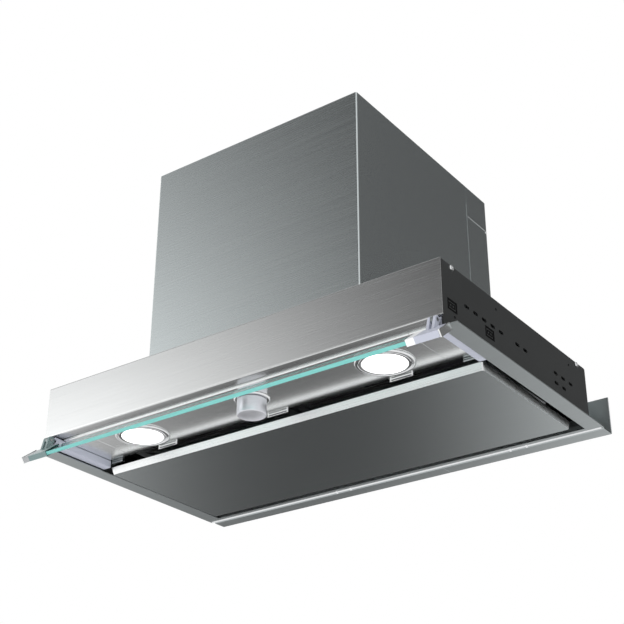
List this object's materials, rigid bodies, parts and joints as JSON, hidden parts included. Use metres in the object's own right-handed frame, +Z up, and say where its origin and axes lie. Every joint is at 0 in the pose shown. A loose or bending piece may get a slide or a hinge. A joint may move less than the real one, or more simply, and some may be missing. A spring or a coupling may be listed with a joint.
{
  "type": "pull out range hood",
  "caption": "Built-in steel range hood with a motor box, a hinged perimeter suction panel, lamps, a rotary control and a glass visor that pulls out and tilts.",
  "frame": {"origin": "middle of the rear spacer's back face, which stands against the wall, halfway up its height", "axes": "+X to the right as seen from the front, +Y back towards the wall, +Z up; the fascia and the visor face -Y"},
  "size_m": [0.596, 0.387, 0.4223],
  "materials": {
    "fascia_steel": "brushed along the width",
    "box_steel": "fine brushed, satin",
    "bright_steel": "bright polished",
    "frame_steel": "satin",
    "black_paint": "satin powder coat",
    "dark_tray": "matt",
    "zinc": "zinc plated",
    "grey_plastic": "moulded, satin",
    "black_plastic": "moulded, matt",
    "visor_glass": "clear float glass with a polished green edge",
    "lamp_lens": "frosted, lit",
    "knob_metal": "satin anodised",
    "aluminium": "mill",
    "motor_paint": "satin"
  },
  "bodies": {
    "root": {"bottom_frame": "frame_steel", "side_plate_right": "black_paint", "side_plate_left": "black_paint", "front_clip_right": "black_plastic", "front_clip_left": "black_plastic", "rear_clip_right": "black_plastic", "rear_clip_left": "black_plastic", "fascia": "fascia_steel", "top_cover": "zinc", "back_plate": "zinc", "rear_spacer_left": "frame_steel", "rear_spacer_right": "frame_steel", "light_panel": "bright_steel", "light_panel_end_right": "bright_steel", "light_panel_end_left": "bright_steel", "lamp_bezel_right": "bright_steel", "lamp_bezel_left": "bright_steel", "lamp_lens_right": "lamp_lens", "lamp_lens_left": "lamp_lens", "lamp_body_right": "aluminium", "lamp_body_left": "aluminium", "knob_ring": "knob_metal", "switch_body": "black_plastic", "visor_guide_right": "grey_plastic", "visor_guide_left": "grey_plastic", "hinge_bracket_right": "zinc", "hinge_bracket_left": "zinc", "filter_tray": "dark_tray", "grease_filter_right": "aluminium", "grease_filter_left": "aluminium", "motor_box_front": "box_steel", "motor_box_rear": "box_steel", "motor_box_lid": "box_steel", "blower_scroll": "black_plastic", "blower_motor": "motor_paint", "motor_bracket": "zinc", "outlet_collar": "black_plastic", "control_box": "black_plastic", "control_box_lid": "black_plastic", "cable_gland": "black_plastic", "capacitor": "aluminium", "capacitor_strap": "zinc"},
    "visor_carriage": {"visor_arm_right": "zinc", "visor_arm_left": "zinc"},
    "visor": {"visor_glass": "visor_glass", "visor_bracket_right": "grey_plastic", "visor_bracket_left": "grey_plastic", "visor_end_cap_right": "bright_steel", "visor_end_cap_left": "bright_steel"},
    "knob": {"control_knob": "knob_metal", "knob_spindle": "zinc"},
    "panel": {"suction_panel": "fascia_steel"},
    "latch_right": {"filter_latch_right": "black_plastic"},
    "latch_left": {"filter_latch_left": "black_plastic"},
    "impeller": {"blower_impeller": "black_plastic"},
    "flap_rear": {"outlet_flap_rear": "black_plastic"},
    "flap_front": {"outlet_flap_front": "black_plastic"}
  },
  "joints": [
    {"name": "visor_slide", "type": "slide", "parent": "root", "child": "visor_carriage", "axis": [0, -1, 0], "range_m": [0, 0.045]},
    {"name": "visor_tilt", "type": "hinge", "parent": "visor_carriage", "child": "visor", "pos_m": [0, -0.3635, -0.016], "axis": [-1, 0, 0], "range_deg": [-20, 38]},
    {"name": "knob_turn", "type": "hinge", "parent": "root", "child": "knob", "pos_m": [0, -0.311, -0.0225], "axis": [0, 0, -1], "range_deg": [0, 240]},
    {"name": "panel_drop", "type": "hinge", "parent": "root", "child": "panel", "pos_m": [0, -0.063, -0.012], "axis": [1, 0, 0], "range_deg": [0, 80]},
    {"name": "latch_right_slide", "type": "slide", "parent": "root", "child": "latch_right", "axis": [0, 1, 0], "range_m": [0, 0.004], "stiffness_N_per_m": 300},
    {"name": "latch_left_slide", "type": "slide", "parent": "root", "child": "latch_left", "axis": [0, 1, 0], "range_m": [0, 0.004], "stiffness_N_per_m": 300},
    {"name": "impeller_spin", "type": "hinge", "parent": "root", "child": "impeller", "pos_m": [0, -0.189, 0.191], "axis": [1, 0, 0], "continuous": true},
    {"name": "flap_rear_swing", "type": "hinge", "parent": "root", "child": "flap_rear", "pos_m": [0, -0.09525, 0.352], "axis": [1, 0, 0], "range_deg": [0, 75]},
    {"name": "flap_front_swing", "type": "hinge", "parent": "root", "child": "flap_front", "pos_m": [0, -0.09525, 0.352], "axis": [-1, 0, 0], "range_deg": [0, 75]}
  ]
}
